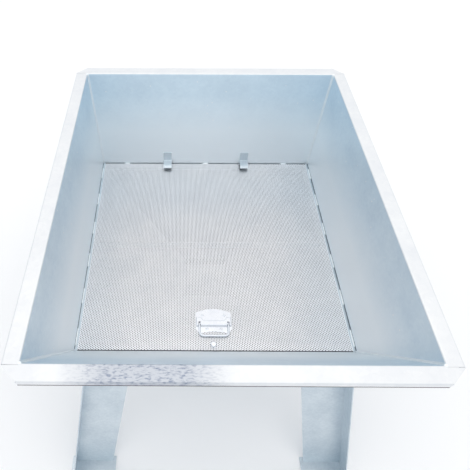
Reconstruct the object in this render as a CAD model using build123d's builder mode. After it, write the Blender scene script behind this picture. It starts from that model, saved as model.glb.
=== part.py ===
"""Free-standing galvanised hopper with a lift-out sieve floor, a fines sump below it and a slide gate.

Millimetres, +Z up, front at -Y. The origin is on the ground, under the middle of the rim.
"""

from build123d import *
from math import cos, hypot, radians, sin, tan
import os

# ---- tub -------------------------------------------------------------------
sheet = 2.0                # thickness of the tub's and the sump's sheet
rim_height = 800.0         # ground to the rim's top face
rim_width = 815.0          # opening at the rim, left to right
rim_length = 975.0         # opening at the rim, front to back
tub_depth = 340.0          # rim's top face down to the sieve's top face
front_setback = 160.0      # the floor's front edge behind the rim's front edge
back_setback = 63.0        # the floor's back edge before the rim's back edge
side_setback = 15.0        # the floor's side edges inside the rim's side edges
wall_tail = 30.0           # walls go on this far below the sieve's top face
flange_width = 36.0        # flat rim outside the opening
lip_height = 18.0          # turned-down edge of the rim
bend_radius = 4.0          # outer radius of a folded edge
corner_gap = 1.0           # seam between a corner piece and the side flange
corner_weld = 4.0          # radius of the weld bead in the tub's corners

# ---- ledge under the sieve ---------------------------------------------------
ledge_width = 25.0
ledge_thickness = 3.0
ledge_gap = 1.5            # seam between the back ledge and the back wall
support_height = 30.0      # flat bar on edge across the middle
support_thickness = 4.0
stitch_radius = 4.5
stitch_length = 52.0
stitch_start = 41.0        # first weld's centre behind the floor's front edge
stitch_end = 56.0          # last weld's centre before the floor's back edge
stitch_count = 6
back_stitch_radius = 2.6
back_stitch_length = 22.0
back_stitch_inset = 67.5   # outer welds' centres inside the back ledge's ends
back_stitch_count = 5

# ---- sieve -------------------------------------------------------------------
sieve_thickness = 2.0
sieve_side_gap = 7.5       # bare ledge beside the sieve
sieve_front_gap = 3.0
sieve_back_gap = 4.0

# ---- clips that hold the sieve's back edge ----------------------------------
clip_width = 30.0
clip_thickness = 3.0
clip_spacing = 290.0
clip_clearance = 12.0      # sieve to the tongue's underside
clip_leg = 35.0
clip_overlap = 34.0        # tongue's reach over the sieve
clip_tip_drop = 3.0
clip_bend = 5.0
clip_tip = 10.0            # length of the tongue's turned-down tip
clip_weld = 2.5
clip_weld_start = 10.0     # bead begins this far above the tongue's underside

# ---- retaining screw -----------------------------------------------------------
screw_radius = 4.0
screw_clearance = 0.5
screw_head_radius = 7.8
screw_head_height = 10.5
screw_chamfer = 1.2
screw_setback = 17.5       # behind the floor's front edge
screw_offset = -4.0        # left of the middle
screw_end = 2.0            # shank below the nut
nut_flats = 13.0
nut_height = 8.0

# ---- handle on the sieve ---------------------------------------------------
handle_setback = 82.0      # bail's pivot behind the floor's front edge
plate_thickness = 1.5
plate_half_width = 51.5
plate_back = 34.0          # back corners behind the pivot
plate_back_crown = 14.0    # rise of the curved back edge
plate_front = 30.0         # front corners before the pivot
plate_front_arch = 6.0     # hollow of the curved front edge
plate_chamfer = 12.0
band_height = 8.1          # pressed band above the plate
band_front = 7.5
band_back = 8.0
band_end_back = 18.0       # the band is deeper at its two ends
band_narrow = 30.0         # half-length of its narrow middle
band_slope = 8.0
band_edge = 1.0            # flat margin at the plate's sides
band_round = 2.5
bail_radius = 3.0
bail_clearance = 0.3
bail_half_width = 41.5
bail_reach = 38.0          # pivot to the grip's centre line
bail_corner = 11.0
bail_eye_corner = 4.0
bail_stub = 12.0           # turned-in ends that sit in the band
bail_slot_gap = 1.0        # slots in the band are this much wider than the bail
rivet_radius = 2.0
rivet_clearance = 0.1
rivet_head_radius = 3.6
rivet_head_height = 1.2
rivet_head_taper = 45.0
rivet_places = ((-32.0, 27.0), (32.0, 27.0), (-20.0, -16.0), (20.0, -16.0))

# ---- sump, outlet and slide gate ----------------------------------------------
sump_depth = 190.0
outlet_size = 160.0
collar_height = 40.0
collar_flange = 20.0
collar_thickness = 3.0
gate_thickness = 3.0
gate_clearance = 0.5
runner_width = 12.0
runner_lip = 10.0
runner_lip_thickness = 3.0
runner_front = 80.0        # runners go on this far before the collar
stop_width = 12.0
gate_overhang = 14.0       # gate in front of the collar's flange
pull_width = 100.0
pull_height = 26.0
pull_thickness = 3.0
pull_slot_length = 60.0
pull_slot_height = 12.0
pull_rounding = 3.0

# ---- legs --------------------------------------------------------------------
leg_thickness = 3.0
leg_web = 125.0
leg_flange = 70.0
leg_splay = 11.0           # outward lean, degrees
front_leg_lean = 19.0
back_leg_lean = 12.0
leg_stand_x = 0.5          # leg's outer face at the foot, outside the rim's side
leg_stand_y = 6.5          # web's exposed face at the foot, outside the rim's end
foot_thickness = 5.0
foot_width = 145.0
foot_length = 95.0
foot_hole_radius = 5.5
foot_hole_x = 70.0         # hole's centre inside the leg's outer face
foot_hole_y = 35.0         # hole's centre outside the web

# ---- worked out from the values above --------------------------------------
reach = 2 * (rim_width + rim_length)          # longer than anything that is cut
front_y = -rim_length / 2
back_y = rim_length / 2
side_x = rim_width / 2
sieve_z = rim_height - tub_depth
ledge_z = sieve_z - sieve_thickness
tail_z = sieve_z - wall_tail
floor_front = front_y + front_setback
floor_back = back_y - back_setback
floor_side = side_x - side_setback
front_slope = front_setback / tub_depth
back_slope = back_setback / tub_depth
side_slope = side_setback / tub_depth
leg_foot_x = side_x + flange_width + leg_stand_x
leg_foot_y = back_y + flange_width + leg_stand_y
UP = Vector(0, 0, 1)


def face_plane(top: Vector, low: Vector, along: Vector) -> Plane:
    """Plane through a sloping sheet's inner face, its normal pointing out of the hopper."""
    return Plane(origin=top, x_dir=along, z_dir=(low - top).cross(along))


front_face = face_plane(Vector(0, front_y, rim_height), Vector(0, floor_front, sieve_z), Vector(1, 0, 0))
back_face = face_plane(Vector(0, back_y, rim_height), Vector(0, floor_back, sieve_z), Vector(-1, 0, 0))
right_face = face_plane(Vector(side_x, 0, rim_height), Vector(floor_side, 0, sieve_z), Vector(0, 1, 0))
left_face = face_plane(Vector(-side_x, 0, rim_height), Vector(-floor_side, 0, sieve_z), Vector(0, -1, 0))
tub_faces = (front_face, back_face, left_face, right_face)


def save(piece: Part, name: str) -> None:
    """Label one finished piece and write it."""
    piece.label = name
    export_step(piece, f"parts/{name}.step")


def beyond(plane: Plane) -> Part:
    """Everything outside a wall's plane that lies under the rim and inside its lip."""
    with BuildPart() as region:
        with Locations((0, 0, tail_z - sheet)):
            Box(
                rim_width + flange_width,
                rim_length + flange_width,
                rim_height - tail_z,
                align=(Align.CENTER, Align.CENTER, Align.MIN),
            )
        split(bisect_by=plane, keep=Keep.TOP)
    return region.part


def wall(edge: Vector, slope: float, half_length: float, trims: tuple[Plane, Plane]) -> Part:
    """One folded wall: lip, flange and sloping panel, cut back where the next walls stand."""
    out = Vector(edge.X, edge.Y, 0).normalized()
    fall = rim_height - tail_z + sheet
    with BuildPart() as folded:
        with BuildSketch(Plane(origin=edge, x_dir=out, z_dir=out.cross(UP))):
            with BuildLine() as outline:
                FilletPolyline(
                    (flange_width, -lip_height),
                    (flange_width, 0),
                    (0, 0),
                    (-slope * fall, -fall),
                    radius=bend_radius,
                )
                offset(amount=sheet, side=Side.LEFT)
            make_face()
        extrude(amount=half_length, both=True)
        split(bisect_by=Plane.XY.offset(tail_z), keep=Keep.TOP)
        for plane in trims:
            add(beyond(plane), mode=Mode.SUBTRACT)
    return folded.part


def corner(slope: float, edge_y: float, x_sign: int) -> Part:
    """A triangular rim corner with its own turned-down lip, mirrored into place by signs."""
    y_sign = 1 if edge_y > 0 else -1
    inner_y = edge_y + y_sign * (sheet * hypot(1, slope) + corner_gap)
    points = [
        (x_sign * side_x, inner_y),
        (x_sign * (side_x + flange_width), inner_y),
        (x_sign * side_x, edge_y + y_sign * flange_width),
    ]
    run_x = flange_width
    run_y = abs(points[2][1] - inner_y)
    inward = (-x_sign * sheet * run_y / hypot(run_x, run_y), -y_sign * sheet * run_x / hypot(run_x, run_y))
    with BuildPart() as piece:
        with BuildSketch(Plane.XY.offset(rim_height)):
            Polygon(*points, align=None)
        extrude(amount=-sheet)
        with BuildSketch(Plane.XY.offset(rim_height - sheet)):
            Polygon(*points, align=None)
            with Locations(inward):
                Polygon(*points, align=None, mode=Mode.SUBTRACT)
        extrude(amount=sheet - lip_height)
    return piece.part


def sheet_panel(plane: Plane, trims: list[tuple[Plane, Keep]]) -> Part:
    """A flat sheet on a plane's outer side, cut to its outline by other planes."""
    with BuildPart() as panel:
        with BuildSketch(plane):
            Rectangle(reach, reach)
        extrude(amount=sheet)
        for cut, keep in trims:
            split(bisect_by=cut, keep=keep)
    return panel.part


os.makedirs("parts", exist_ok=True)

# ---- walls with their flanges -------------------------------------------------
front_end = rim_length / 2 + sheet * hypot(1, front_slope)
back_end = rim_length / 2 + sheet * hypot(1, back_slope)
save(wall(Vector(0, front_y, rim_height), front_slope, side_x, (left_face, right_face)), "front_wall")
save(wall(Vector(0, back_y, rim_height), back_slope, side_x, (left_face, right_face)), "back_wall")
for name, x_sign in (("left_wall", -1), ("right_wall", 1)):
    side = wall(
        Vector(x_sign * side_x, 0, rim_height),
        side_slope,
        max(front_end, back_end),
        (front_face.offset(sheet), back_face.offset(sheet)),
    )
    with BuildPart() as trimmed:
        add(side)
        split(bisect_by=Plane.XZ.offset(front_end), keep=Keep.BOTTOM)
        split(bisect_by=Plane.XZ.offset(-back_end), keep=Keep.TOP)
    save(trimmed.part, name)

for name, slope, edge_y, x_sign in (
    ("rim_corner_front_left", front_slope, front_y, -1),
    ("rim_corner_front_right", front_slope, front_y, 1),
    ("rim_corner_back_left", back_slope, back_y, -1),
    ("rim_corner_back_right", back_slope, back_y, 1),
):
    save(corner(slope, edge_y, x_sign), name)

# ---- weld beads down the tub's four inner corners -------------------------------
with BuildPart() as corner_welds:
    for x_sign in (-1, 1):
        for rim_y, floor_y in ((front_y, floor_front), (back_y, floor_back)):
            top = Vector(x_sign * side_x, rim_y, rim_height)
            low = Vector(x_sign * floor_side, floor_y, sieve_z)
            run = low - top
            with BuildSketch(Plane(origin=top, z_dir=run)):
                Circle(corner_weld)
            extrude(amount=run.length + wall_tail)
    for plane in tub_faces:
        split(bisect_by=plane, keep=Keep.BOTTOM)
    split(bisect_by=Plane.XY.offset(rim_height - bend_radius), keep=Keep.BOTTOM)
    split(bisect_by=Plane.XY.offset(ledge_z), keep=Keep.TOP)
save(corner_welds.part, "corner_welds")

# ---- ledge that carries the sieve --------------------------------------------
screw_place = (screw_offset, floor_front + screw_setback)
ledge_inner_x = floor_side - ledge_width
for name, x_sign in (("ledge_left", -1), ("ledge_right", 1)):
    with BuildPart() as ledge:
        with Locations((x_sign * (floor_side - ledge_width / 2), 0, ledge_z)):
            Box(ledge_width, reach, ledge_thickness, align=(Align.CENTER, Align.CENTER, Align.MAX))
        for plane in tub_faces:
            split(bisect_by=plane, keep=Keep.BOTTOM)
    save(ledge.part, name)

with BuildPart() as ledge_front:
    with Locations((0, floor_front + ledge_width, ledge_z)):
        Box(
            2 * ledge_inner_x,
            ledge_width + front_setback,
            ledge_thickness,
            align=(Align.CENTER, Align.MAX, Align.MAX),
        )
    split(bisect_by=front_face, keep=Keep.BOTTOM)
    with Locations((*screw_place, ledge_z)):
        Hole(screw_radius + screw_clearance)
save(ledge_front.part, "ledge_front")

back_wall_y = floor_back - back_slope * (sieve_thickness + ledge_thickness)
with BuildPart() as ledge_back:
    with Locations((0, back_wall_y - ledge_gap, ledge_z)):
        Box(2 * ledge_inner_x, ledge_width, ledge_thickness, align=(Align.CENTER, Align.MAX, Align.MAX))
save(ledge_back.part, "ledge_back")

floor_middle = (floor_front + floor_back) / 2
with BuildPart() as support_bar:
    with Locations((0, floor_middle, ledge_z)):
        Box(2 * ledge_inner_x, support_thickness, support_height, align=(Align.CENTER, Align.CENTER, Align.MAX))
save(support_bar.part, "sieve_support_bar")

stitch_run = floor_back - stitch_end - (floor_front + stitch_start)
with BuildPart() as stitch_welds:
    for x_sign in (-1, 1):
        for index in range(stitch_count):
            place = floor_front + stitch_start + index * stitch_run / (stitch_count - 1)
            with Locations((x_sign * floor_side, place, ledge_z)):
                Cylinder(stitch_radius, stitch_length, rotation=(90, 0, 0))
    for plane in (left_face, right_face):
        split(bisect_by=plane, keep=Keep.BOTTOM)
    split(bisect_by=Plane.XY.offset(ledge_z), keep=Keep.TOP)
save(stitch_welds.part, "side_ledge_welds")

back_stitch_run = 2 * (ledge_inner_x - back_stitch_inset)
with BuildPart() as back_welds:
    for index in range(back_stitch_count):
        place = (index / (back_stitch_count - 1) - 0.5) * back_stitch_run
        with Locations((place, floor_back - back_slope * sieve_thickness, ledge_z)):
            Cylinder(back_stitch_radius, back_stitch_length, rotation=(0, 90, 0))
    split(bisect_by=back_face, keep=Keep.BOTTOM)
    split(bisect_by=Plane.XY.offset(ledge_z), keep=Keep.TOP)
save(back_welds.part, "back_ledge_welds")

# ---- sieve: the holes of its mesh are left out --------------------------------
sieve_front = floor_front + sieve_front_gap
sieve_back = floor_back - sieve_back_gap
pivot_y = floor_front + handle_setback
with BuildPart() as sieve:
    with BuildSketch(Plane.XY.offset(ledge_z)):
        with Locations((0, (sieve_front + sieve_back) / 2)):
            Rectangle(2 * (floor_side - sieve_side_gap), sieve_back - sieve_front)
    extrude(amount=sieve_thickness)
    with Locations((*screw_place, sieve_z)):
        Hole(screw_radius + screw_clearance)
    for across, along in rivet_places:
        with Locations((across, pivot_y + along, sieve_z)):
            Hole(rivet_radius + rivet_clearance)
save(sieve.part, "sieve_plate")

# ---- two clips on the back wall ------------------------------------------------
tongue_z = sieve_z + clip_clearance
leg_top_z = tongue_z + clip_leg
tongue_y = sieve_back - clip_overlap
for name, x_sign in (("rear_clip_left", -1), ("rear_clip_right", 1)):
    with BuildPart() as clip:
        with BuildSketch(Plane.YZ.offset(x_sign * clip_spacing / 2)):
            with BuildLine():
                FilletPolyline(
                    (floor_back + back_slope * (leg_top_z - sieve_z), leg_top_z),
                    (floor_back + back_slope * clip_clearance, tongue_z),
                    (tongue_y + clip_tip, tongue_z),
                    (tongue_y, tongue_z - clip_tip_drop),
                    radius=clip_bend,
                )
                offset(amount=clip_thickness, side=Side.RIGHT)
            make_face()
        extrude(amount=clip_width / 2, both=True)
    save(clip.part, name)

with BuildPart() as clip_welds:
    for x_sign in (-1, 1):
        for edge in (-1, 1):
            foot = Vector(
                x_sign * clip_spacing / 2 + edge * clip_width / 2,
                floor_back + back_slope * (clip_clearance + clip_weld_start),
                tongue_z + clip_weld_start,
            )
            top = Vector(foot.X, floor_back + back_slope * (leg_top_z - sieve_z), leg_top_z)
            with BuildSketch(Plane(origin=foot, z_dir=top - foot)):
                Circle(clip_weld)
            extrude(amount=(top - foot).length)
    split(bisect_by=back_face, keep=Keep.BOTTOM)
    for x_sign in (-1, 1):
        with Locations((x_sign * clip_spacing / 2, floor_back, tongue_z)):
            Box(clip_width, reach, reach, mode=Mode.SUBTRACT)
save(clip_welds.part, "rear_clip_welds")

# ---- retaining screw and its welded nut ---------------------------------------
nut_top = ledge_z - ledge_thickness
with BuildPart() as nut:
    with BuildSketch(Plane.XY.offset(nut_top)):
        with Locations(screw_place):
            RegularPolygon(nut_flats / 2, 6, major_radius=False)
            Circle(screw_radius + screw_clearance, mode=Mode.SUBTRACT)
    extrude(amount=-nut_height)
save(nut.part, "weld_nut")

with BuildPart() as screw:
    with BuildSketch(Plane.XY.offset(sieve_z)):
        with Locations(screw_place):
            Circle(screw_head_radius)
    extrude(amount=screw_head_height)
    chamfer(screw.faces().sort_by(Axis.Z)[-1].edges(), length=screw_chamfer)
    with BuildSketch(Plane.XY.offset(sieve_z)):
        with Locations(screw_place):
            Circle(screw_radius)
    extrude(amount=nut_top - nut_height - screw_end - sieve_z)
    chamfer(screw.faces().sort_by(Axis.Z)[0].edges(), length=screw_chamfer / 2)
save(screw.part, "retaining_screw")

# ---- handle: pressed plate, bail and rivets --------------------------------------
pivot_z = sieve_z + plate_thickness + bail_clearance + bail_radius
plate_top = sieve_z + plate_thickness
band_end = plate_half_width - band_edge
with BuildPart() as plate:
    with BuildSketch(Plane.XY.offset(sieve_z)):
        with BuildLine(Plane(origin=(0, pivot_y, sieve_z))):
            back_left = (-plate_half_width, plate_back)
            back_right = (plate_half_width, plate_back)
            front_corner_x = plate_half_width - plate_chamfer
            ThreePointArc(back_left, (0, plate_back + plate_back_crown), back_right)
            Polyline(back_right, (plate_half_width, plate_chamfer - plate_front), (front_corner_x, -plate_front))
            ThreePointArc(
                (front_corner_x, -plate_front), (0, plate_front_arch - plate_front), (-front_corner_x, -plate_front)
            )
            Polyline((-front_corner_x, -plate_front), (-plate_half_width, plate_chamfer - plate_front), back_left)
        make_face()
    extrude(amount=plate_thickness)
    with BuildSketch(Plane(origin=(0, pivot_y, plate_top))):
        Polygon(
            (-band_end, -band_front),
            (band_end, -band_front),
            (band_end, band_end_back),
            (band_narrow + band_slope, band_end_back),
            (band_narrow, band_back),
            (-band_narrow, band_back),
            (-band_narrow - band_slope, band_end_back),
            (-band_end, band_end_back),
            align=None,
        )
    extrude(amount=band_height)
    fillet(plate.faces().sort_by(Axis.Z)[-1].edges(), radius=band_round)
    for x_sign in (-1, 1):
        slot_x = x_sign * bail_half_width
        bore_x = slot_x - x_sign * bail_stub / 2
        with Locations((bore_x, pivot_y, pivot_z)):
            Cylinder(
                bail_radius + bail_clearance, bail_stub + bail_radius, rotation=(0, 90, 0), mode=Mode.SUBTRACT
            )
        with Locations((slot_x, pivot_y + bail_radius + bail_clearance, plate_top)):
            Box(
                2 * bail_radius + bail_slot_gap,
                band_front + bail_radius + bail_clearance,
                band_height,
                align=(Align.CENTER, Align.MAX, Align.MIN),
                mode=Mode.SUBTRACT,
            )
    for across, along in rivet_places:
        with Locations((across, pivot_y + along, plate_top)):
            Hole(rivet_radius + rivet_clearance)
save(plate.part, "handle_plate")

bail_end = bail_half_width - bail_stub
with BuildPart() as bail:
    with BuildLine() as bail_path:
        FilletPolyline(
            (-bail_end, pivot_y, pivot_z),
            (-bail_half_width, pivot_y, pivot_z),
            (-bail_half_width, pivot_y - bail_reach, pivot_z),
            (bail_half_width, pivot_y - bail_reach, pivot_z),
            (bail_half_width, pivot_y, pivot_z),
            (bail_end, pivot_y, pivot_z),
            radius=[bail_eye_corner, bail_corner, bail_corner, bail_eye_corner],
        )
    with BuildSketch(Plane(origin=bail_path.line @ 0, z_dir=bail_path.line % 0)):
        Circle(bail_radius)
    sweep()
save(bail.part, "handle_bail")

with BuildPart() as rivets:
    for across, along in rivet_places:
        place = (across, pivot_y + along)
        with BuildSketch(Plane.XY.offset(plate_top)):
            with Locations(place):
                Circle(rivet_head_radius)
        extrude(amount=rivet_head_height, taper=rivet_head_taper)
        with BuildSketch(Plane.XY.offset(plate_top)):
            with Locations(place):
                Circle(rivet_radius)
        extrude(amount=ledge_z - plate_top)
        with BuildSketch(Plane.XY.offset(ledge_z)):
            with Locations(place):
                Circle(rivet_head_radius)
        extrude(amount=-rivet_head_height)
save(rivets.part, "handle_rivets")

# ---- sump panels under the sieve -------------------------------------------------
outlet_z = tail_z - sump_depth
outlet_half = outlet_size / 2
tail_side = side_x - side_slope * (rim_height - tail_z)
tail_front = front_y + front_slope * (rim_height - tail_z)
tail_back = back_y - back_slope * (rim_height - tail_z)
sump_front = face_plane(
    Vector(0, tail_front, tail_z), Vector(0, floor_middle - outlet_half, outlet_z), Vector(1, 0, 0)
)
sump_back = face_plane(
    Vector(0, tail_back, tail_z), Vector(0, floor_middle + outlet_half, outlet_z), Vector(-1, 0, 0)
)
sump_right = face_plane(Vector(tail_side, 0, tail_z), Vector(outlet_half, 0, outlet_z), Vector(0, 1, 0))
sump_left = face_plane(Vector(-tail_side, 0, tail_z), Vector(-outlet_half, 0, outlet_z), Vector(0, -1, 0))
level_cuts = [(Plane.XY.offset(tail_z), Keep.BOTTOM), (Plane.XY.offset(outlet_z), Keep.TOP)]
between_sides = [(sump_left, Keep.BOTTOM), (sump_right, Keep.BOTTOM)]
over_ends = [(sump_front.offset(sheet), Keep.BOTTOM), (sump_back.offset(sheet), Keep.BOTTOM)]
save(sheet_panel(sump_front, level_cuts + between_sides), "sump_front")
save(sheet_panel(sump_back, level_cuts + between_sides), "sump_back")
save(sheet_panel(sump_left, level_cuts + over_ends), "sump_left")
save(sheet_panel(sump_right, level_cuts + over_ends), "sump_right")

# ---- outlet collar, runners and gate -------------------------------------------
collar_z = outlet_z - collar_height
collar_outer = outlet_size + 2 * sheet
flange_outer = collar_outer + 2 * collar_flange
with BuildPart() as collar:
    with BuildSketch(Plane.XY.offset(collar_z)):
        with Locations((0, floor_middle)):
            Rectangle(collar_outer, collar_outer)
            Rectangle(outlet_size, outlet_size, mode=Mode.SUBTRACT)
    extrude(amount=collar_height)
    with BuildSketch(Plane.XY.offset(collar_z)):
        with Locations((0, floor_middle)):
            Rectangle(flange_outer, flange_outer)
            Rectangle(outlet_size, outlet_size, mode=Mode.SUBTRACT)
    extrude(amount=collar_thickness)
save(collar.part, "outlet_collar")

channel = gate_thickness + 2 * gate_clearance
channel_x = flange_outer / 2 - runner_width
runner_back = floor_middle + flange_outer / 2
runner_length = flange_outer + runner_front
for name, x_sign in (("gate_runner_left", -1), ("gate_runner_right", 1)):
    with BuildPart() as runner:
        with BuildSketch(Plane.XZ.offset(-runner_back)):
            Polygon(
                (x_sign * channel_x, collar_z),
                (x_sign * flange_outer / 2, collar_z),
                (x_sign * flange_outer / 2, collar_z - channel - runner_lip_thickness),
                (x_sign * (channel_x - runner_lip), collar_z - channel - runner_lip_thickness),
                (x_sign * (channel_x - runner_lip), collar_z - channel),
                (x_sign * channel_x, collar_z - channel),
                align=None,
            )
        extrude(amount=runner_length)
    save(runner.part, name)

with BuildPart() as gate_stop:
    with Locations((0, runner_back, collar_z)):
        Box(2 * channel_x, stop_width, channel, align=(Align.CENTER, Align.MAX, Align.MAX))
save(gate_stop.part, "gate_stop")

gate_z = collar_z - gate_clearance - gate_thickness
gate_front = floor_middle - flange_outer / 2 - gate_overhang
gate_back = runner_back - stop_width - gate_clearance
with BuildPart() as gate:
    with BuildSketch(Plane.XY.offset(gate_z)):
        with Locations((0, (gate_front + gate_back) / 2)):
            Rectangle(2 * (channel_x - gate_clearance), gate_back - gate_front)
    extrude(amount=gate_thickness)
save(gate.part, "slide_gate")

with BuildPart() as pull:
    with Locations((0, gate_front, gate_z)):
        Box(pull_width, pull_thickness, pull_height, align=(Align.CENTER, Align.MIN, Align.MAX))
    with Locations((0, gate_front + pull_thickness / 2, gate_z - pull_height / 2)):
        Box(pull_slot_length, 2 * pull_thickness, pull_slot_height, mode=Mode.SUBTRACT)
    fillet(pull.edges().filter_by(Axis.Y), radius=pull_rounding)
save(pull.part, "gate_pull")

# ---- legs and foot plates --------------------------------------------------------
for end, y_sign, lean, wall_face in (
    ("front", -1, front_leg_lean, front_face),
    ("back", 1, back_leg_lean, back_face),
):
    for side_name, x_sign in (("left", -1), ("right", 1)):
        outer_x = x_sign * leg_foot_x
        web_y = y_sign * leg_foot_y
        inner_x = outer_x - x_sign * leg_thickness
        rise = Vector(-x_sign * tan(radians(leg_splay)), -y_sign * tan(radians(lean)), 1)
        with BuildPart() as leg:
            with BuildSketch(Plane.XY.offset(foot_thickness)):
                Polygon(
                    (outer_x - x_sign * leg_web, web_y),
                    (inner_x, web_y),
                    (inner_x, web_y + y_sign * leg_flange),
                    (outer_x, web_y + y_sign * leg_flange),
                    (outer_x, web_y - y_sign * leg_thickness),
                    (outer_x - x_sign * leg_web, web_y - y_sign * leg_thickness),
                    align=None,
                )
            extrude(amount=rim_height, dir=rise)
            split(bisect_by=wall_face.offset(sheet), keep=Keep.TOP)
        save(leg.part, f"{end}_leg_{side_name}")

        foot_centre = (
            outer_x - x_sign * leg_web / 2,
            web_y + y_sign * (leg_flange - leg_thickness) / 2,
        )
        hole_place = (outer_x - x_sign * foot_hole_x, web_y + y_sign * foot_hole_y)
        with BuildPart() as foot:
            with BuildSketch():
                with Locations(foot_centre):
                    Rectangle(foot_width, foot_length)
                with Locations(hole_place):
                    Circle(foot_hole_radius, mode=Mode.SUBTRACT)
            extrude(amount=foot_thickness)
        save(foot.part, f"{end}_foot_{side_name}")
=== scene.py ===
"""Galvanised hopper with a sieve floor: its finishes, punched sieve, weld beads, studio and camera.

Metres, in the CAD model's own frame: +Z up, the front at -Y, the origin on the ground.
"""

import logging
from abc import ABC, abstractmethod
from collections.abc import Iterable
from dataclasses import dataclass, field
from enum import Enum
from math import ceil, radians, sqrt
from random import Random

import bmesh
import bpy
from mathutils import Matrix, Vector


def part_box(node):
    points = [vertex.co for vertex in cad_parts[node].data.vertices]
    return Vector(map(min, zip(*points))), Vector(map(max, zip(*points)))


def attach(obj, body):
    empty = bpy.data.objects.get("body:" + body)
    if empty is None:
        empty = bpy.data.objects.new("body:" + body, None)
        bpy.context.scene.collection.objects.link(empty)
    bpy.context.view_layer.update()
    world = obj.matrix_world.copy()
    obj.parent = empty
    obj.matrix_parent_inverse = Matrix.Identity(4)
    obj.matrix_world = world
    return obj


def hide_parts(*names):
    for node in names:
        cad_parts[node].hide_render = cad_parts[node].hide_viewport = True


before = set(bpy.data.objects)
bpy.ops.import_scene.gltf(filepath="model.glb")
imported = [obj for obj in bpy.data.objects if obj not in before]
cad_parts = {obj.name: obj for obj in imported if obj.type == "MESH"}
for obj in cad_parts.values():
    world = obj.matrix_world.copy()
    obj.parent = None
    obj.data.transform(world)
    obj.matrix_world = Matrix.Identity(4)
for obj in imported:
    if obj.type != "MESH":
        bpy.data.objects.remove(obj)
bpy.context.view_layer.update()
MM = 0.001
LOG = logging.getLogger("hopper")


class Body(Enum):
    """The bodies that new pieces move with."""

    TUB = "tub"
    SIEVE = "sieve"


class Slot(Enum):
    """The record's material slots."""

    SHEET = "galvanised_sheet"
    PUNCHED = "perforated_galvanised_sheet"
    FITTING = "galvanised_fittings"
    WELD = "galvanised_weld"
    BRIGHT = "bright_zinc_plate"


def linear(hex_colour: str) -> tuple[float, float, float, float]:
    """Turn an sRGB hex colour into a linear one.

    Args:
        hex_colour: a colour such as "#c8d2da".

    Returns:
        Linear red, green and blue, and an alpha of 1.
    """
    channels = [int(hex_colour[place : place + 2], 16) / 255 for place in (1, 3, 5)]
    return (*(c / 12.92 if c <= 0.04045 else ((c + 0.055) / 1.055) ** 2.4 for c in channels), 1.0)


def add_node(
    tree: bpy.types.NodeTree, kind: str, inputs: dict[str | int, object] | None = None, **settings: object
) -> bpy.types.Node:
    """Add one node with its settings, values and links.

    Args:
        tree: the node tree that gets the node.
        kind: the node's type, such as "ShaderNodeBump".
        inputs: a value, or an output socket to link from, for each input's name or number.
        **settings: properties of the node itself.

    Returns:
        The new node.
    """
    node = tree.nodes.new(kind)
    for name, value in settings.items():
        setattr(node, name, value)
    for name, value in (inputs or {}).items():
        if isinstance(value, bpy.types.NodeSocket):
            tree.links.new(value, node.inputs[name])
        else:
            node.inputs[name].default_value = value
    return node


def per_metre(size_mm: float) -> float:
    """Texture scale whose features are this many millimetres across."""
    return 1000.0 / size_mm


def blend(tree: bpy.types.NodeTree, factor: object, first: object, second: object) -> bpy.types.NodeSocket:
    """Mix two colours.

    Args:
        tree: the node tree to work in.
        factor: a socket or number, 0 for the first colour and 1 for the second.
        first: a socket or linear colour.
        second: a socket or linear colour.

    Returns:
        The mixed colour's socket.
    """
    mix = add_node(tree, "ShaderNodeMix", {0: factor, 6: first, 7: second}, data_type="RGBA")
    return mix.outputs[2]


def calculate(tree: bpy.types.NodeTree, operation: str, *values: object) -> bpy.types.NodeSocket:
    """Add a Math node on sockets or numbers and return its result."""
    return add_node(tree, "ShaderNodeMath", dict(enumerate(values)), operation=operation).outputs[0]


# ---- finishes ---------------------------------------------------------------------


@dataclass(frozen=True)
class Finish(ABC):
    """A surface finish, whose material is made once and shared."""

    name: str

    @abstractmethod
    def shade(self, tree: bpy.types.NodeTree) -> bpy.types.Node:
        """Build the finish's nodes and return its shader."""

    def material(self) -> bpy.types.Material:
        """Return the finish's material, made at its first use."""
        found = bpy.data.materials.get(self.name)
        if found:
            return found
        made = bpy.data.materials.new(self.name)
        made.use_nodes = True
        made.node_tree.nodes.clear()
        shader = self.shade(made.node_tree)
        add_node(made.node_tree, "ShaderNodeOutputMaterial", {"Surface": shader.outputs[0]})
        return made

    def dress(self, pieces: Iterable[bpy.types.Object]) -> None:
        """Give this finish to every material slot of the pieces."""
        for piece in pieces:
            if not piece.material_slots:
                piece.data.materials.append(self.material())
            for place in piece.material_slots:
                place.material = self.material()


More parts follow.
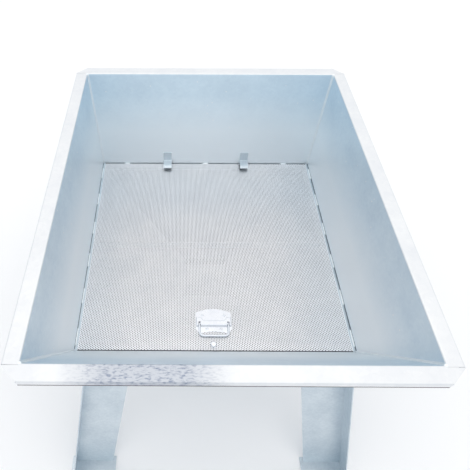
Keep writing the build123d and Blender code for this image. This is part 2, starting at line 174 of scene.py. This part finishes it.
@dataclass(frozen=True)
class DippedZinc(Finish):
    """Hot-dip galvanised steel sheet, a satin blue-grey skin of zinc crystals.

    The crystals differ a little in brightness and gloss, the zinc lies uneven by a few hundredths of a
    millimetre, and the sheet under it is never quite flat, so reflections blur and wander.
    """

    bright: str = "#e8f1f6"
    dull: str = "#dfe9f0"
    crystal_mm: float = 9.0
    crystal_share: float = 0.35
    mottle_mm: float = 90.0
    mottle_detail: float = 5.0
    mottle_roughness: float = 0.62
    mottle_low: float = 0.34
    mottle_high: float = 0.66
    ripple_mm: float = 2.6
    ripple_depth_mm: float = 0.02
    wave_mm: float = 190.0
    wave_depth_mm: float = 0.5
    relief_detail: float = 1.0
    satin: float = 0.36
    chalky: float = 0.46

    def tone(self, tree: bpy.types.NodeTree, place: bpy.types.NodeSocket) -> bpy.types.NodeSocket:
        """Mix single crystals with broad mottling, from 0 for dull zinc to 1 for bright."""
        crystals = add_node(
            tree, "ShaderNodeTexVoronoi", {"Vector": place, "Scale": per_metre(self.crystal_mm)}
        )
        crystal = add_node(tree, "ShaderNodeSeparateColor", {"Color": crystals.outputs["Color"]})
        mottle = add_node(
            tree,
            "ShaderNodeTexNoise",
            {
                "Vector": place,
                "Scale": per_metre(self.mottle_mm),
                "Detail": self.mottle_detail,
                "Roughness": self.mottle_roughness,
            },
        )
        patches = add_node(
            tree,
            "ShaderNodeMapRange",
            {"Value": mottle.outputs["Fac"], "From Min": self.mottle_low, "From Max": self.mottle_high},
        )
        mixed = add_node(
            tree,
            "ShaderNodeMix",
            {0: self.crystal_share, 2: patches.outputs["Result"], 3: crystal.outputs["Red"]},
        )
        return mixed.outputs[0]

    def relief(self, tree: bpy.types.NodeTree, place: bpy.types.NodeSocket) -> bpy.types.NodeSocket:
        """Lay the zinc's fine ripple over the slow waves of the sheet itself."""
        normal = None
        for size_mm, depth_mm in (
            (self.wave_mm, self.wave_depth_mm),
            (self.ripple_mm, self.ripple_depth_mm),
        ):
            height = add_node(
                tree,
                "ShaderNodeTexNoise",
                {"Vector": place, "Scale": per_metre(size_mm), "Detail": self.relief_detail},
            )
            inputs = {"Height": height.outputs["Fac"], "Distance": depth_mm * MM}
            if normal:
                inputs["Normal"] = normal
            normal = add_node(tree, "ShaderNodeBump", inputs).outputs["Normal"]
        return normal

    def zones(
        self, tree: bpy.types.NodeTree, place: bpy.types.NodeSocket, tone: bpy.types.NodeSocket
    ) -> tuple[bpy.types.NodeSocket, bpy.types.NodeSocket]:
        """Return the zinc's colour and roughness; a kind with different zones overrides this."""
        colour = blend(tree, tone, linear(self.dull), linear(self.bright))
        gloss = add_node(
            tree, "ShaderNodeMapRange", {"Value": tone, "To Min": self.chalky, "To Max": self.satin}
        )
        return colour, gloss.outputs["Result"]

    def shade(self, tree: bpy.types.NodeTree) -> bpy.types.Node:
        """Build crystals, mottling and unevenness into one metal shader."""
        place = add_node(tree, "ShaderNodeTexCoord").outputs["Object"]
        colour, gloss = self.zones(tree, place, self.tone(tree, place))
        return add_node(
            tree,
            "ShaderNodeBsdfPrincipled",
            {"Base Color": colour, "Metallic": 1.0, "Roughness": gloss, "Normal": self.relief(tree, place)},
        )


@dataclass(frozen=True)
class TubShape:
    """The tub's opening and slopes, read off the CAD pieces."""

    half_width: float
    half_length: float
    flange: float
    rim: float
    ledge: float
    lip_edge: float
    side_slope: float
    front_slope: float
    back_slope: float

    @classmethod
    def measure(cls) -> "TubShape":
        """Work the sizes out from the boxes of the walls and the ledge."""
        wall_low, wall_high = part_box("front_wall")
        side_low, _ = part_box("left_wall")
        ledge_low, ledge_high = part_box("ledge_left")
        flange = wall_low.x - side_low.x
        half_width, half_length = wall_high.x, -wall_low.y - flange
        depth = wall_high.z - ledge_high.z
        return cls(
            half_width=half_width,
            half_length=half_length,
            flange=flange,
            rim=wall_high.z,
            ledge=ledge_high.z,
            lip_edge=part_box("rim_corner_front_left")[0].z,
            side_slope=(half_width + ledge_low.x) / depth,
            front_slope=(half_length + ledge_low.y) / depth,
            back_slope=(half_length - ledge_high.y) / depth,
        )

    def corner(self, x_sign: int, y_sign: int, height: float) -> Vector:
        """Return the point where two inner faces meet at a height."""
        depth = self.rim - height
        slope = self.back_slope if y_sign > 0 else self.front_slope
        return Vector(
            (
                x_sign * (self.half_width - depth * self.side_slope),
                y_sign * (self.half_length - depth * slope),
                height,
            )
        )


@dataclass(frozen=True)
class TubZinc(DippedZinc):
    """The tub's own zinc: near white on the rim as a painted highlight, ground bright along the corner
    seams.

    The flange and lip are painted near white, a painted highlight of the overhead light, apart from the
    front, where sacks have rubbed them to grey streaks. The outer faces are painted greyer as painted
    shade, and the inner walls are painted paler lower down as painted light. The corner welds were ground
    before dipping and left a pale band, and small pips of dross stand on the walls. A dark strip along the
    foot of the side walls at the ledge is painted shade, and so is a dark brown line along the lip's lower
    edge.
    """

    # Near white painted on the flange and lip: a painted highlight of the overhead light.
    rim_highlight_white: str = "#eff0f1"
    rim_highlight_grey: str = "#e6e8eb"
    rubbed_grey: str = "#c8ccd3"
    # Painted light: the inner walls grow paler towards this colour lower down.
    lower_wall_light: str = "#f3fafe"
    # Painted shade: the outer faces are painted darker than the inner ones.
    shaded_outside_bright: str = "#ccd7df"
    shaded_outside_dull: str = "#b8c5cf"
    streak_dark: str = "#8c96aa"
    # Painted shade: a dark strip along the foot of the side walls, at the ledge.
    ledge_shade: str = "#6d7680"
    seam_pale: str = "#f3f9fd"
    pip_pale: str = "#fafbfc"
    # Painted shade: a dark brown line along the lip's lower edge.
    lip_shade_colour: str = "#4b3f42"
    rim_roughness: float = 0.5
    seam_roughness: float = 0.42
    seam_width: float = 6 * MM
    fold_depth: float = 5 * MM
    lip_shade_height: float = 4 * MM
    ledge_shade_height: float = 6 * MM
    rubbed_middle: float = -165 * MM
    rubbed_reach: float = 170 * MM
    rubbed_fade: float = 90 * MM
    streak_mm: float = 4.5
    streak_turn: float = 0.5
    streak_stretch: tuple[float, float, float] = (0.45, 1.3, 1.0)
    streak_detail: float = 4.0
    streak_distortion: float = 0.5
    streak_low: float = 0.47
    streak_high: float = 0.7
    # Painted light: the depths below the rim over which the walls grow paler.
    lower_light_top: float = 70 * MM
    lower_light_full: float = 210 * MM
    pip_spacing_mm: float = 34.0
    pip_share: float = 0.055

    def looks_inward(
        self, tree: bpy.types.NodeTree, along: bpy.types.bpy_prop_collection
    ) -> bpy.types.NodeSocket:
        """Return 1 on faces that look towards the tub's inside, and 0 on its outer faces."""
        facing = add_node(tree, "ShaderNodeNewGeometry").outputs["True Normal"]
        normal = add_node(tree, "ShaderNodeSeparateXYZ", {"Vector": facing}).outputs
        sideways = calculate(tree, "MULTIPLY", along["X"], normal["X"])
        outward = calculate(tree, "MULTIPLY_ADD", along["Y"], normal["Y"], sideways)
        return calculate(tree, "LESS_THAN", outward, 0.0)

    def rubbed(
        self, tree: bpy.types.NodeTree, place: bpy.types.NodeSocket, rim_highlight: bpy.types.NodeSocket
    ) -> bpy.types.NodeSocket:
        """Rub the front rim's painted-highlight white, left of the middle, down to slanting grey streaks.

        Args:
            tree: the node tree to work in.
            place: the point on the piece.
            rim_highlight: the rim's near white where it isn't rubbed, a painted highlight.

        Returns:
            The rim's colour with the rubbed patch.
        """
        along = add_node(tree, "ShaderNodeSeparateXYZ", {"Vector": place}).outputs
        offset = calculate(tree, "ABSOLUTE", calculate(tree, "SUBTRACT", along["X"], self.rubbed_middle))
        fade = add_node(
            tree,
            "ShaderNodeMapRange",
            {
                "Value": offset,
                "From Min": self.rubbed_reach,
                "From Max": self.rubbed_reach - self.rubbed_fade,
            },
        )
        front = calculate(tree, "LESS_THAN", along["Y"], 0.0)
        patch = calculate(tree, "MULTIPLY", fade.outputs["Result"], front)
        slant = add_node(
            tree,
            "ShaderNodeMapping",
            {"Vector": place, "Rotation": (0, 0, self.streak_turn), "Scale": self.streak_stretch},
        )
        streaks = add_node(
            tree,
            "ShaderNodeTexNoise",
            {
                "Vector": slant.outputs[0],
                "Scale": per_metre(self.streak_mm),
                "Detail": self.streak_detail,
                "Distortion": self.streak_distortion,
            },
        )
        streak = add_node(
            tree,
            "ShaderNodeMapRange",
            {"Value": streaks.outputs["Fac"], "From Min": self.streak_low, "From Max": self.streak_high},
        )
        bare = blend(tree, streak.outputs["Result"], linear(self.rubbed_grey), linear(self.streak_dark))
        return blend(tree, patch, rim_highlight, bare)

    def behind_walls(
        self,
        tree: bpy.types.NodeTree,
        shape: TubShape,
        along: bpy.types.bpy_prop_collection,
        depth: bpy.types.NodeSocket,
    ) -> tuple[bpy.types.NodeSocket, bpy.types.NodeSocket]:
        """Work out how far a point lies behind the tub's inner faces; inside the tub it is negative.

        Args:
            tree: the node tree to work in.
            shape: the tub's opening and slopes.
            along: the point's X, Y and Z.
            depth: how far the point is below the rim.

        Returns:
            The distance behind the nearer side wall, and behind the nearer end wall.
        """
        across = calculate(tree, "ABSOLUTE", along["X"])
        side = calculate(tree, "MULTIPLY_ADD", depth, shape.side_slope, across)
        front = calculate(tree, "MULTIPLY", depth, shape.front_slope)
        front = calculate(tree, "SUBTRACT", front, along["Y"])
        back = calculate(tree, "MULTIPLY_ADD", depth, shape.back_slope, along["Y"])
        end = calculate(tree, "MAXIMUM", front, back)
        return (
            calculate(tree, "SUBTRACT", side, shape.half_width),
            calculate(tree, "SUBTRACT", end, shape.half_length),
        )

    def on_rim(
        self,
        tree: bpy.types.NodeTree,
        shape: TubShape,
        along: bpy.types.bpy_prop_collection,
        depth: bpy.types.NodeSocket,
    ) -> tuple[bpy.types.NodeSocket, bpy.types.NodeSocket]:
        """Find the rim.

        Args:
            tree: the node tree to work in.
            shape: the tub's opening and slopes.
            along: the point's X, Y and Z.
            depth: how far the point is below the rim.

        Returns:
            Sockets that are 1 on the whole rim and on its outer part with the lip, and 0 elsewhere.
        """
        beside = calculate(tree, "SUBTRACT", calculate(tree, "ABSOLUTE", along["X"]), shape.half_width)
        beyond = calculate(tree, "SUBTRACT", calculate(tree, "ABSOLUTE", along["Y"]), shape.half_length)
        outside = calculate(tree, "MAXIMUM", beside, beyond)
        lip = calculate(tree, "GREATER_THAN", outside, shape.flange / 2)
        past_opening = calculate(tree, "GREATER_THAN", outside, 0.0)
        near_top = calculate(tree, "LESS_THAN", depth, self.fold_depth)
        fold = calculate(tree, "MULTIPLY", past_opening, near_top)
        return calculate(tree, "MAXIMUM", lip, fold), lip

    def zones(
        self, tree: bpy.types.NodeTree, place: bpy.types.NodeSocket, tone: bpy.types.NodeSocket
    ) -> tuple[bpy.types.NodeSocket, bpy.types.NodeSocket]:
        """Lay the seam, pip and rubbed zones, and the painted shade, light and rim highlight, over the
        plain zinc.
        """
        shape = TubShape.measure()
        colour, gloss = super().zones(tree, place, tone)
        along = add_node(tree, "ShaderNodeSeparateXYZ", {"Vector": place}).outputs
        depth = calculate(tree, "SUBTRACT", shape.rim, along["Z"])
        behind_side, behind_end = self.behind_walls(tree, shape, along, depth)
        rim, lip = self.on_rim(tree, shape, along, depth)
        inner = self.looks_inward(tree, along)

        # Painted shade: the outer faces get this darker colour.
        outside_shade = blend(tree, tone, linear(self.shaded_outside_dull), linear(self.shaded_outside_bright))
        # Painted light: the inner walls are painted paler lower down.
        lower_light = add_node(
            tree,
            "ShaderNodeMapRange",
            {"Value": depth, "From Min": self.lower_light_top, "From Max": self.lower_light_full},
        )
        corner = calculate(tree, "MINIMUM", behind_side, behind_end)
        seam = calculate(tree, "GREATER_THAN", corner, -self.seam_width)
        side = calculate(tree, "GREATER_THAN", calculate(tree, "SUBTRACT", behind_side, behind_end), 0.0)
        # Painted shade: a dark strip at the foot of the side walls, along the ledge.
        ledge_shade = calculate(tree, "LESS_THAN", along["Z"], shape.ledge + self.ledge_shade_height)
        ledge_shade = calculate(tree, "MULTIPLY", calculate(tree, "MULTIPLY", ledge_shade, side), inner)
        pips = add_node(
            tree, "ShaderNodeTexVoronoi", {"Vector": place, "Scale": per_metre(self.pip_spacing_mm)}
        )
        pip = calculate(tree, "LESS_THAN", pips.outputs["Distance"], self.pip_share)
        # Painted highlight: the rim's near white.
        rim_highlight = blend(tree, tone, linear(self.rim_highlight_grey), linear(self.rim_highlight_white))
        # Painted shade: the dark brown line along the lip's lower edge.
        lip_shade = calculate(tree, "LESS_THAN", along["Z"], shape.lip_edge + self.lip_shade_height)
        lip_shade = calculate(tree, "MULTIPLY", lip_shade, lip)

        colour = blend(tree, lower_light.outputs["Result"], colour, linear(self.lower_wall_light))
        colour = blend(tree, inner, outside_shade, colour)
        colour = blend(tree, seam, colour, linear(self.seam_pale))
        colour = blend(tree, ledge_shade, colour, linear(self.ledge_shade))
        colour = blend(tree, pip, colour, linear(self.pip_pale))
        colour = blend(tree, rim, colour, self.rubbed(tree, place, rim_highlight))
        colour = blend(tree, lip_shade, colour, linear(self.lip_shade_colour))
        gloss = add_node(tree, "ShaderNodeMix", {0: seam, 2: gloss, 3: self.seam_roughness}).outputs[0]
        gloss = add_node(tree, "ShaderNodeMix", {0: rim, 2: gloss, 3: self.rim_roughness}).outputs[0]
        return colour, gloss


@dataclass(frozen=True)
class UnderSieveShadeZinc(DippedZinc):
    """Galvanised steel under the sieve, painted dark grey and matt as painted shade on what faces the tub.

    Beside the sieve the ledge is left out of the shade, so its zinc shows as a pale strip there.
    """

    # Painted shade: the dark grey laid on faces under the sieve.
    under_sieve_shade: str = "#77787c"
    shade_roughness: float = 0.85
    shade_source_height: float = 300 * MM

    def zones(
        self, tree: bpy.types.NodeTree, place: bpy.types.NodeSocket, tone: bpy.types.NodeSocket
    ) -> tuple[bpy.types.NodeSocket, bpy.types.NodeSocket]:
        """Lay painted shade, dark grey and matt, on some faces under the sieve.

        Those are the faces that look towards a point above the sieve's middle.
        """
        colour, gloss = super().zones(tree, place, tone)
        across = add_node(tree, "ShaderNodeSeparateXYZ", {"Vector": place}).outputs["X"]
        low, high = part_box("sieve_plate")
        source = (low + high) / 2 + Vector((0, 0, self.shade_source_height))
        way = add_node(tree, "ShaderNodeVectorMath", {0: source, 1: place}, operation="SUBTRACT")
        facing = add_node(tree, "ShaderNodeNewGeometry").outputs["True Normal"]
        open_to = add_node(
            tree, "ShaderNodeVectorMath", {0: way.outputs["Vector"], 1: facing}, operation="DOT_PRODUCT"
        )
        under = calculate(tree, "LESS_THAN", calculate(tree, "ABSOLUTE", across), high.x)
        # Painted shade on the faces under the sieve that look towards that point.
        in_sieve_shade = calculate(
            tree, "MULTIPLY", under, calculate(tree, "GREATER_THAN", open_to.outputs["Value"], 0.0)
        )
        colour = blend(tree, in_sieve_shade, colour, linear(self.under_sieve_shade))
        gloss = add_node(tree, "ShaderNodeMix", {0: in_sieve_shade, 2: gloss, 3: self.shade_roughness}).outputs[0]
        return colour, gloss


# Hot-dip galvanised folded sheet: satin, faintly blue, softly mirroring.
SHEET_ZINC = TubZinc("hot_dip_galvanised_sheet", bright="#e4f1f9", dull="#dae8f2")
# Small dipped fittings, with finer crystals, painted darker than the sheet: painted shade of darker
# surroundings.
FITTING_ZINC = DippedZinc("hot_dip_galvanised_fittings", bright="#d8e1e7", dull="#c6d1d9", crystal_mm=6.0)
# Dipped sheet under the sieve: painted dark grey and matt as painted shade, so the holes look dark.
UNDER_SIEVE_SHADE_ZINC = UnderSieveShadeZinc("shaded_galvanised_sheet", bright="#d8e1e7", dull="#c6d1d9")
# Punched galvanised sheet: brighter and flatter than the walls.
SIEVE_ZINC = DippedZinc("punched_galvanised_sheet", bright="#fafbfe", dull="#f2f4f8", wave_depth_mm=0.2)
# Zinc over weld beads: the palest, and it catches the light on every ripple.
WELD_ZINC = DippedZinc("galvanised_weld_bead", bright="#f8fcfe", dull="#eef6fa", crystal_mm=3.0, chalky=0.4)
# Bright electroplated zinc on the handle and the screw: whiter and much glossier than dipped zinc.
BRIGHT_ZINC = DippedZinc(
    "bright_zinc_plated_steel", bright="#e6e8ec", dull="#dcdfe5", satin=0.16, chalky=0.24
)


# ---- pieces -------------------------------------------------------------------------


def add_piece(name: str, mesh: bmesh.types.BMesh, body: Body) -> bpy.types.Object:
    """Turn a finished bmesh into a piece that rides on a body.

    Args:
        name: the piece's name.
        mesh: its geometry, in metres and in place; it is freed.
        body: the CAD body that it moves with.

    Returns:
        The new object.
    """
    data = bpy.data.meshes.new(name)
    mesh.to_mesh(data)
    mesh.free()
    piece = bpy.data.objects.new(name, data)
    bpy.context.scene.collection.objects.link(piece)
    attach(piece, body.value)
    LOG.info("%s: %d faces", name, len(data.polygons))
    return piece


@dataclass
class SievePlate:
    """The punched floor: staggered holes through one sheet, sheared straight through a row of them.

    The real holes look round and are taken to be 3 mm wide and 5 mm apart. Here they are six-sided,
    3.7 mm wide and 5.3 mm apart, coarser so that they show and each mesh stays light enough to hand on
    whole. The one plate is made as four strips edge to edge for the same reason.
    """

    pitch: float = 5.3 * MM
    hole_radius: float = 1.85 * MM
    strips: int = 4
    spare: int = 2

    def build(self) -> list[bpy.types.Object]:
        """Make the strips in place of the plain CAD plate."""
        low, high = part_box("sieve_plate")
        step = self.pitch * sqrt(3)
        periods = (high.x - low.x) / step
        edges = [low.x + round(periods * index / self.strips) * step for index in range(self.strips)]
        edges.append(high.x)
        plates = []
        for index, (left, right) in enumerate(zip(edges, edges[1:])):
            mesh = self.punch(Vector((left, low.y, low.z)), Vector((right, high.y, high.z)), step)
            plate = add_piece(f"punched_sieve_{index + 1}", mesh, Body.SIEVE)
            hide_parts("sieve_plate")
            plates.append(plate)
        SIEVE_ZINC.dress(plates)
        return plates

    def punch(self, low: Vector, high: Vector, step: float) -> bmesh.types.BMesh:
        """Make one strip as a solid sheet with its holes.

        The grid starts with spare columns and rows past the strip's edges, which are then sheared off.

        Args:
            low: the strip's lowest corner.
            high: its highest corner.
            step: the distance from a column of holes to the next one that lines up with it.

        Returns:
            The strip's geometry, in place.
        """
        columns = 2 * ceil((high.x - low.x) / step) + self.spare
        rows = ceil((high.y - low.y) / self.pitch) + self.spare
        mesh = bmesh.new()
        bmesh.ops.create_grid(mesh, x_segments=columns, y_segments=rows, size=0.5)
        bmesh.ops.scale(mesh, vec=(columns * step / 2, rows * self.pitch, 1), verts=mesh.verts)
        bmesh.ops.translate(
            mesh,
            vec=(low.x + (columns - self.spare) / 2 * step / 2, (low.y + high.y) / 2, high.z),
            verts=mesh.verts,
        )
        shifted = [v for v in mesh.verts if round((v.co.x - low.x) * 2 / step) % 2]
        bmesh.ops.translate(mesh, vec=(0, self.pitch / 2, 0), verts=shifted)
        bmesh.ops.triangulate(mesh, faces=mesh.faces, quad_method="SHORT_EDGE")
        holes = bmesh.ops.bevel(
            mesh,
            geom=mesh.verts[:],
            affect="VERTICES",
            offset=self.hole_radius,
            segments=1,
            profile=0.5,
            material=-1,
        )["faces"]
        bmesh.ops.delete(mesh, geom=holes, context="FACES")
        for corner, outward in ((low, -1), (high, 1)):
            for axis in (Vector((outward, 0, 0)), Vector((0, outward, 0))):
                everything = mesh.verts[:] + mesh.edges[:] + mesh.faces[:]
                bmesh.ops.bisect_plane(
                    mesh, geom=everything, plane_co=corner, plane_no=axis, clear_outer=True
                )
        bmesh.ops.solidify(mesh, geom=mesh.faces[:], thickness=high.z - low.z)
        return mesh


@dataclass
class WeldBeads:
    """Hand-laid weld beads, each a row of ripples that swells and narrows as the torch moved on."""

    sides: int = 14
    ripple: float = 2.4 * MM
    fewest_ripples: int = 3
    sink: float = 0.4
    unevenness: float = 0.16
    end_taper: float = 0.45
    corner_radius: float = 3.0 * MM
    side_radius: float = 3.2 * MM
    side_length: float = 52 * MM
    side_count: int = 6
    back_radius: float = 2.4 * MM
    back_length: float = 22 * MM
    back_count: int = 5
    clip_radius: float = 2.2 * MM
    dab_radius: float = 5.0 * MM
    dab_height: float = 3.0 * MM
    dab_setback: float = 0.5
    seed: int = 11
    draws: Random = field(init=False)
    shape: TubShape = field(init=False)

    def __post_init__(self) -> None:
        """Start the random draws and measure the tub."""
        self.draws = Random(self.seed)
        self.shape = TubShape.measure()

    def build(self) -> list[bpy.types.Object]:
        """Make every bead of the tub in place of the plain CAD ones."""
        pieces = []
        for name, lay, node in (
            ("corner_beads", self.corners, "corner_welds"),
            ("side_stitch_beads", self.side_stitches, "side_ledge_welds"),
            ("back_stitch_beads", self.back_stitches, "back_ledge_welds"),
            ("clip_beads", self.clips, "rear_clip_welds"),
        ):
            mesh = bmesh.new()
            lay(mesh)
            for face in mesh.faces:
                face.smooth = True
            bead = add_piece(name, mesh, Body.TUB)
            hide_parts(node)
            pieces.append(bead)
        WELD_ZINC.dress(pieces)
        return pieces

    def lay(self, mesh: bmesh.types.BMesh, start: Vector, end: Vector, radius: float) -> None:
        """Lay one bead.

        Args:
            mesh: the mesh that gets the bead.
            start: the middle of its first ripple.
            end: the middle of its last one.
            radius: its full radius.
        """
        run = end - start
        steps = max(self.fewest_ripples, round(run.length / self.ripple))
        rod = bmesh.new()
        bmesh.ops.create_cone(
            rod, cap_ends=True, segments=self.sides, radius1=radius, radius2=radius, depth=1
        )
        long_edges = [e for e in rod.edges if e.verts[0].co.z * e.verts[1].co.z < 0]
        bmesh.ops.subdivide_edges(rod, edges=long_edges, cuts=steps - 1, use_grid_fill=True)
        swells = [1 - self.draws.uniform(0, self.unevenness) for _ in range(steps + 1)]
        swells[0] = swells[-1] = self.end_taper
        for vert in rod.verts:
            swell = swells[round((vert.co.z + 0.5) * steps)]
            vert.co.x *= swell
            vert.co.y *= swell
        place = (
            Matrix.Translation((start + end) / 2)
            @ run.to_track_quat("Z", "Y").to_matrix().to_4x4()
            @ Matrix.Diagonal((1, 1, run.length, 1))
        )
        bmesh.ops.transform(rod, matrix=place, verts=rod.verts)
        bead = bpy.data.meshes.new("bead")
        rod.to_mesh(bead)
        rod.free()
        mesh.from_mesh(bead)
        bpy.data.meshes.remove(bead)

    def corners(self, mesh: bmesh.types.BMesh) -> None:
        """Run a bead down each inner corner, and close the folds' gap at its top with a dab."""
        proud = self.sink * self.corner_radius
        for x_sign in (-1, 1):
            for y_sign in (-1, 1):
                inward = Vector((-x_sign * proud, -y_sign * proud, 0))
                top = self.shape.corner(x_sign, y_sign, self.shape.rim - self.dab_height)
                low = self.shape.corner(x_sign, y_sign, self.shape.ledge)
                self.lay(mesh, top + inward, low + inward, self.corner_radius)
                dab = bmesh.ops.create_uvsphere(
                    mesh, u_segments=2 * self.sides, v_segments=self.sides, radius=self.dab_radius
                )["verts"]
                squat = self.dab_height / self.dab_radius
                bmesh.ops.scale(mesh, vec=(1, 1, squat), verts=dab)
                bmesh.ops.translate(mesh, vec=top - inward * self.dab_setback, verts=dab)

    def side_stitches(self, mesh: bmesh.types.BMesh) -> None:
        """Stitch both side ledges to their walls."""
        low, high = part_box("side_ledge_welds")
        proud = self.sink * self.side_radius
        pitch = (high.y - low.y - self.side_length) / (self.side_count - 1)
        for x_sign in (-1, 1):
            foot = self.shape.corner(x_sign, 1, self.shape.ledge)
            for index in range(self.side_count):
                start = Vector((foot.x - x_sign * proud, low.y + index * pitch, foot.z + proud))
                self.lay(mesh, start, start + Vector((0, self.side_length, 0)), self.side_radius)

    def back_stitches(self, mesh: bmesh.types.BMesh) -> None:
        """Tack the back ledge to the back wall."""
        low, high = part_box("back_ledge_welds")
        proud = self.sink * self.back_radius
        foot = self.shape.corner(1, 1, self.shape.ledge)
        pitch = (high.x - low.x - self.back_length) / (self.back_count - 1)
        for index in range(self.back_count):
            start = Vector((low.x + index * pitch, foot.y - proud, foot.z + proud))
            self.lay(mesh, start, start + Vector((self.back_length, 0, 0)), self.back_radius)

    def clips(self, mesh: bmesh.types.BMesh) -> None:
        """Run a bead up both edges of each clip's leg."""
        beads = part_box("rear_clip_welds")
        for name in ("rear_clip_left", "rear_clip_right"):
            low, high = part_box(name)
            for edge in (low.x, high.x):
                start, end = (self.shape.corner(1, 1, height) for height in (beads[0].z, beads[1].z))
                start.x = end.x = edge
                proud = Vector((0, -self.sink * self.clip_radius, 0))
                self.lay(mesh, start + proud, end + proud, self.clip_radius)


@dataclass
class CadParts:
    """Pieces whose CAD shape is already right, the finish of each slot, and the pieces in painted shade."""

    finishes: tuple[tuple[Slot, Finish], ...] = (
        (Slot.SHEET, SHEET_ZINC),
        (Slot.FITTING, FITTING_ZINC),
        (Slot.WELD, WELD_ZINC),
        (Slot.BRIGHT, BRIGHT_ZINC),
    )
    # The pieces under the sieve that get painted shade.
    in_sieve_shade: tuple[str, ...] = ("ledge", "sump", "sieve_support", "outlet_collar", "slide_gate")

    def dress(self) -> None:
        """Give every shown CAD node its slot's finish, or the painted shade under the sieve."""
        by_slot = dict(self.finishes)
        for name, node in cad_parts.items():
            if node.hide_render:
                continue
            slot = Slot(node.material_slots[0].material.name)
            finish = UNDER_SIEVE_SHADE_ZINC if name.startswith(self.in_sieve_shade) else by_slot[slot]
            finish.dress([node])
            LOG.info("%s: %s", name, finish.name)


# ---- camera and studio ---------------------------------------------------------------


@dataclass(frozen=True)
class Camera:
    """A person's view from in front, looking down into the tub."""

    place: tuple[float, float, float] = (-0.1063, -0.7721, 1.5873)
    tilt_down: float = 53.01
    turn: float = 0.33
    lens: float = 32.14
    shift_x: float = 0.1255

    def build(self) -> bpy.types.Object:
        """Make the camera and use it for the scene."""
        data = bpy.data.cameras.new("camera")
        data.lens = self.lens
        data.shift_x = self.shift_x
        camera = bpy.data.objects.new("camera", data)
        camera.location = self.place
        camera.rotation_euler = (radians(90 - self.tilt_down), 0, radians(self.turn))
        bpy.context.scene.collection.objects.link(camera)
        bpy.context.scene.camera = camera
        return camera


@dataclass(frozen=True)
class Studio:
    """A pale floor under a bright, even room with one large soft light overhead."""

    floor_half_size: float = 12.0
    floor_colour: str = "#fafafb"
    floor_roughness: float = 0.9
    room_high: str = "#ffffff"
    room_low: str = "#b9c6d1"
    room_strength: float = 1.15
    room_white_from: float = 0.6
    light_size: float = 2.4
    light_height: float = 3.6
    light_power: float = 5.0

    def build(self) -> None:
        """Make the floor, the room's glow and the overhead light."""
        mesh = bmesh.new()
        bmesh.ops.create_grid(mesh, x_segments=1, y_segments=1, size=self.floor_half_size)
        data = bpy.data.meshes.new("studio_floor")
        mesh.to_mesh(data)
        mesh.free()
        floor = bpy.data.objects.new("studio_floor", data)
        bpy.context.scene.collection.objects.link(floor)
        paint = bpy.data.materials.new("matt_studio_floor")
        paint.use_nodes = True
        shader = paint.node_tree.nodes["Principled BSDF"]
        shader.inputs["Base Color"].default_value = linear(self.floor_colour)
        shader.inputs["Roughness"].default_value = self.floor_roughness
        floor.data.materials.append(paint)
        self.room()
        self.light()
        bpy.context.scene.view_settings.view_transform = "Standard"

    def room(self) -> None:
        """Make a room that glows brighter overhead than at eye level."""
        world = bpy.data.worlds.new("studio_room")
        bpy.context.scene.world = world
        world.use_nodes = True
        tree = world.node_tree
        tree.nodes.clear()
        place = add_node(tree, "ShaderNodeTexCoord").outputs["Generated"]
        height = add_node(tree, "ShaderNodeSeparateXYZ", {"Vector": place}).outputs["Z"]
        rise = add_node(tree, "ShaderNodeMapRange", {"Value": height, "From Max": self.room_white_from})
        glow = blend(tree, rise.outputs["Result"], linear(self.room_low), linear(self.room_high))
        background = add_node(
            tree, "ShaderNodeBackground", {"Color": glow, "Strength": self.room_strength}
        )
        add_node(tree, "ShaderNodeOutputWorld", {"Surface": background.outputs[0]})

    def light(self) -> None:
        """Hang the large soft light above the object."""
        data = bpy.data.lights.new("overhead_softbox", "AREA")
        data.shape = "SQUARE"
        data.size = self.light_size
        data.energy = self.light_power
        light = bpy.data.objects.new("overhead_softbox", data)
        light.location = (0, 0, self.light_height)
        bpy.context.scene.collection.objects.link(light)


def main() -> None:
    """Build the camera, the studio and every sub-assembly in order."""
    logging.basicConfig(level=logging.INFO, format="%(message)s")
    Camera().build()
    Studio().build()
    SievePlate().build()
    WeldBeads().build()
    CadParts().dress()


if __name__ == "__main__":
    main()
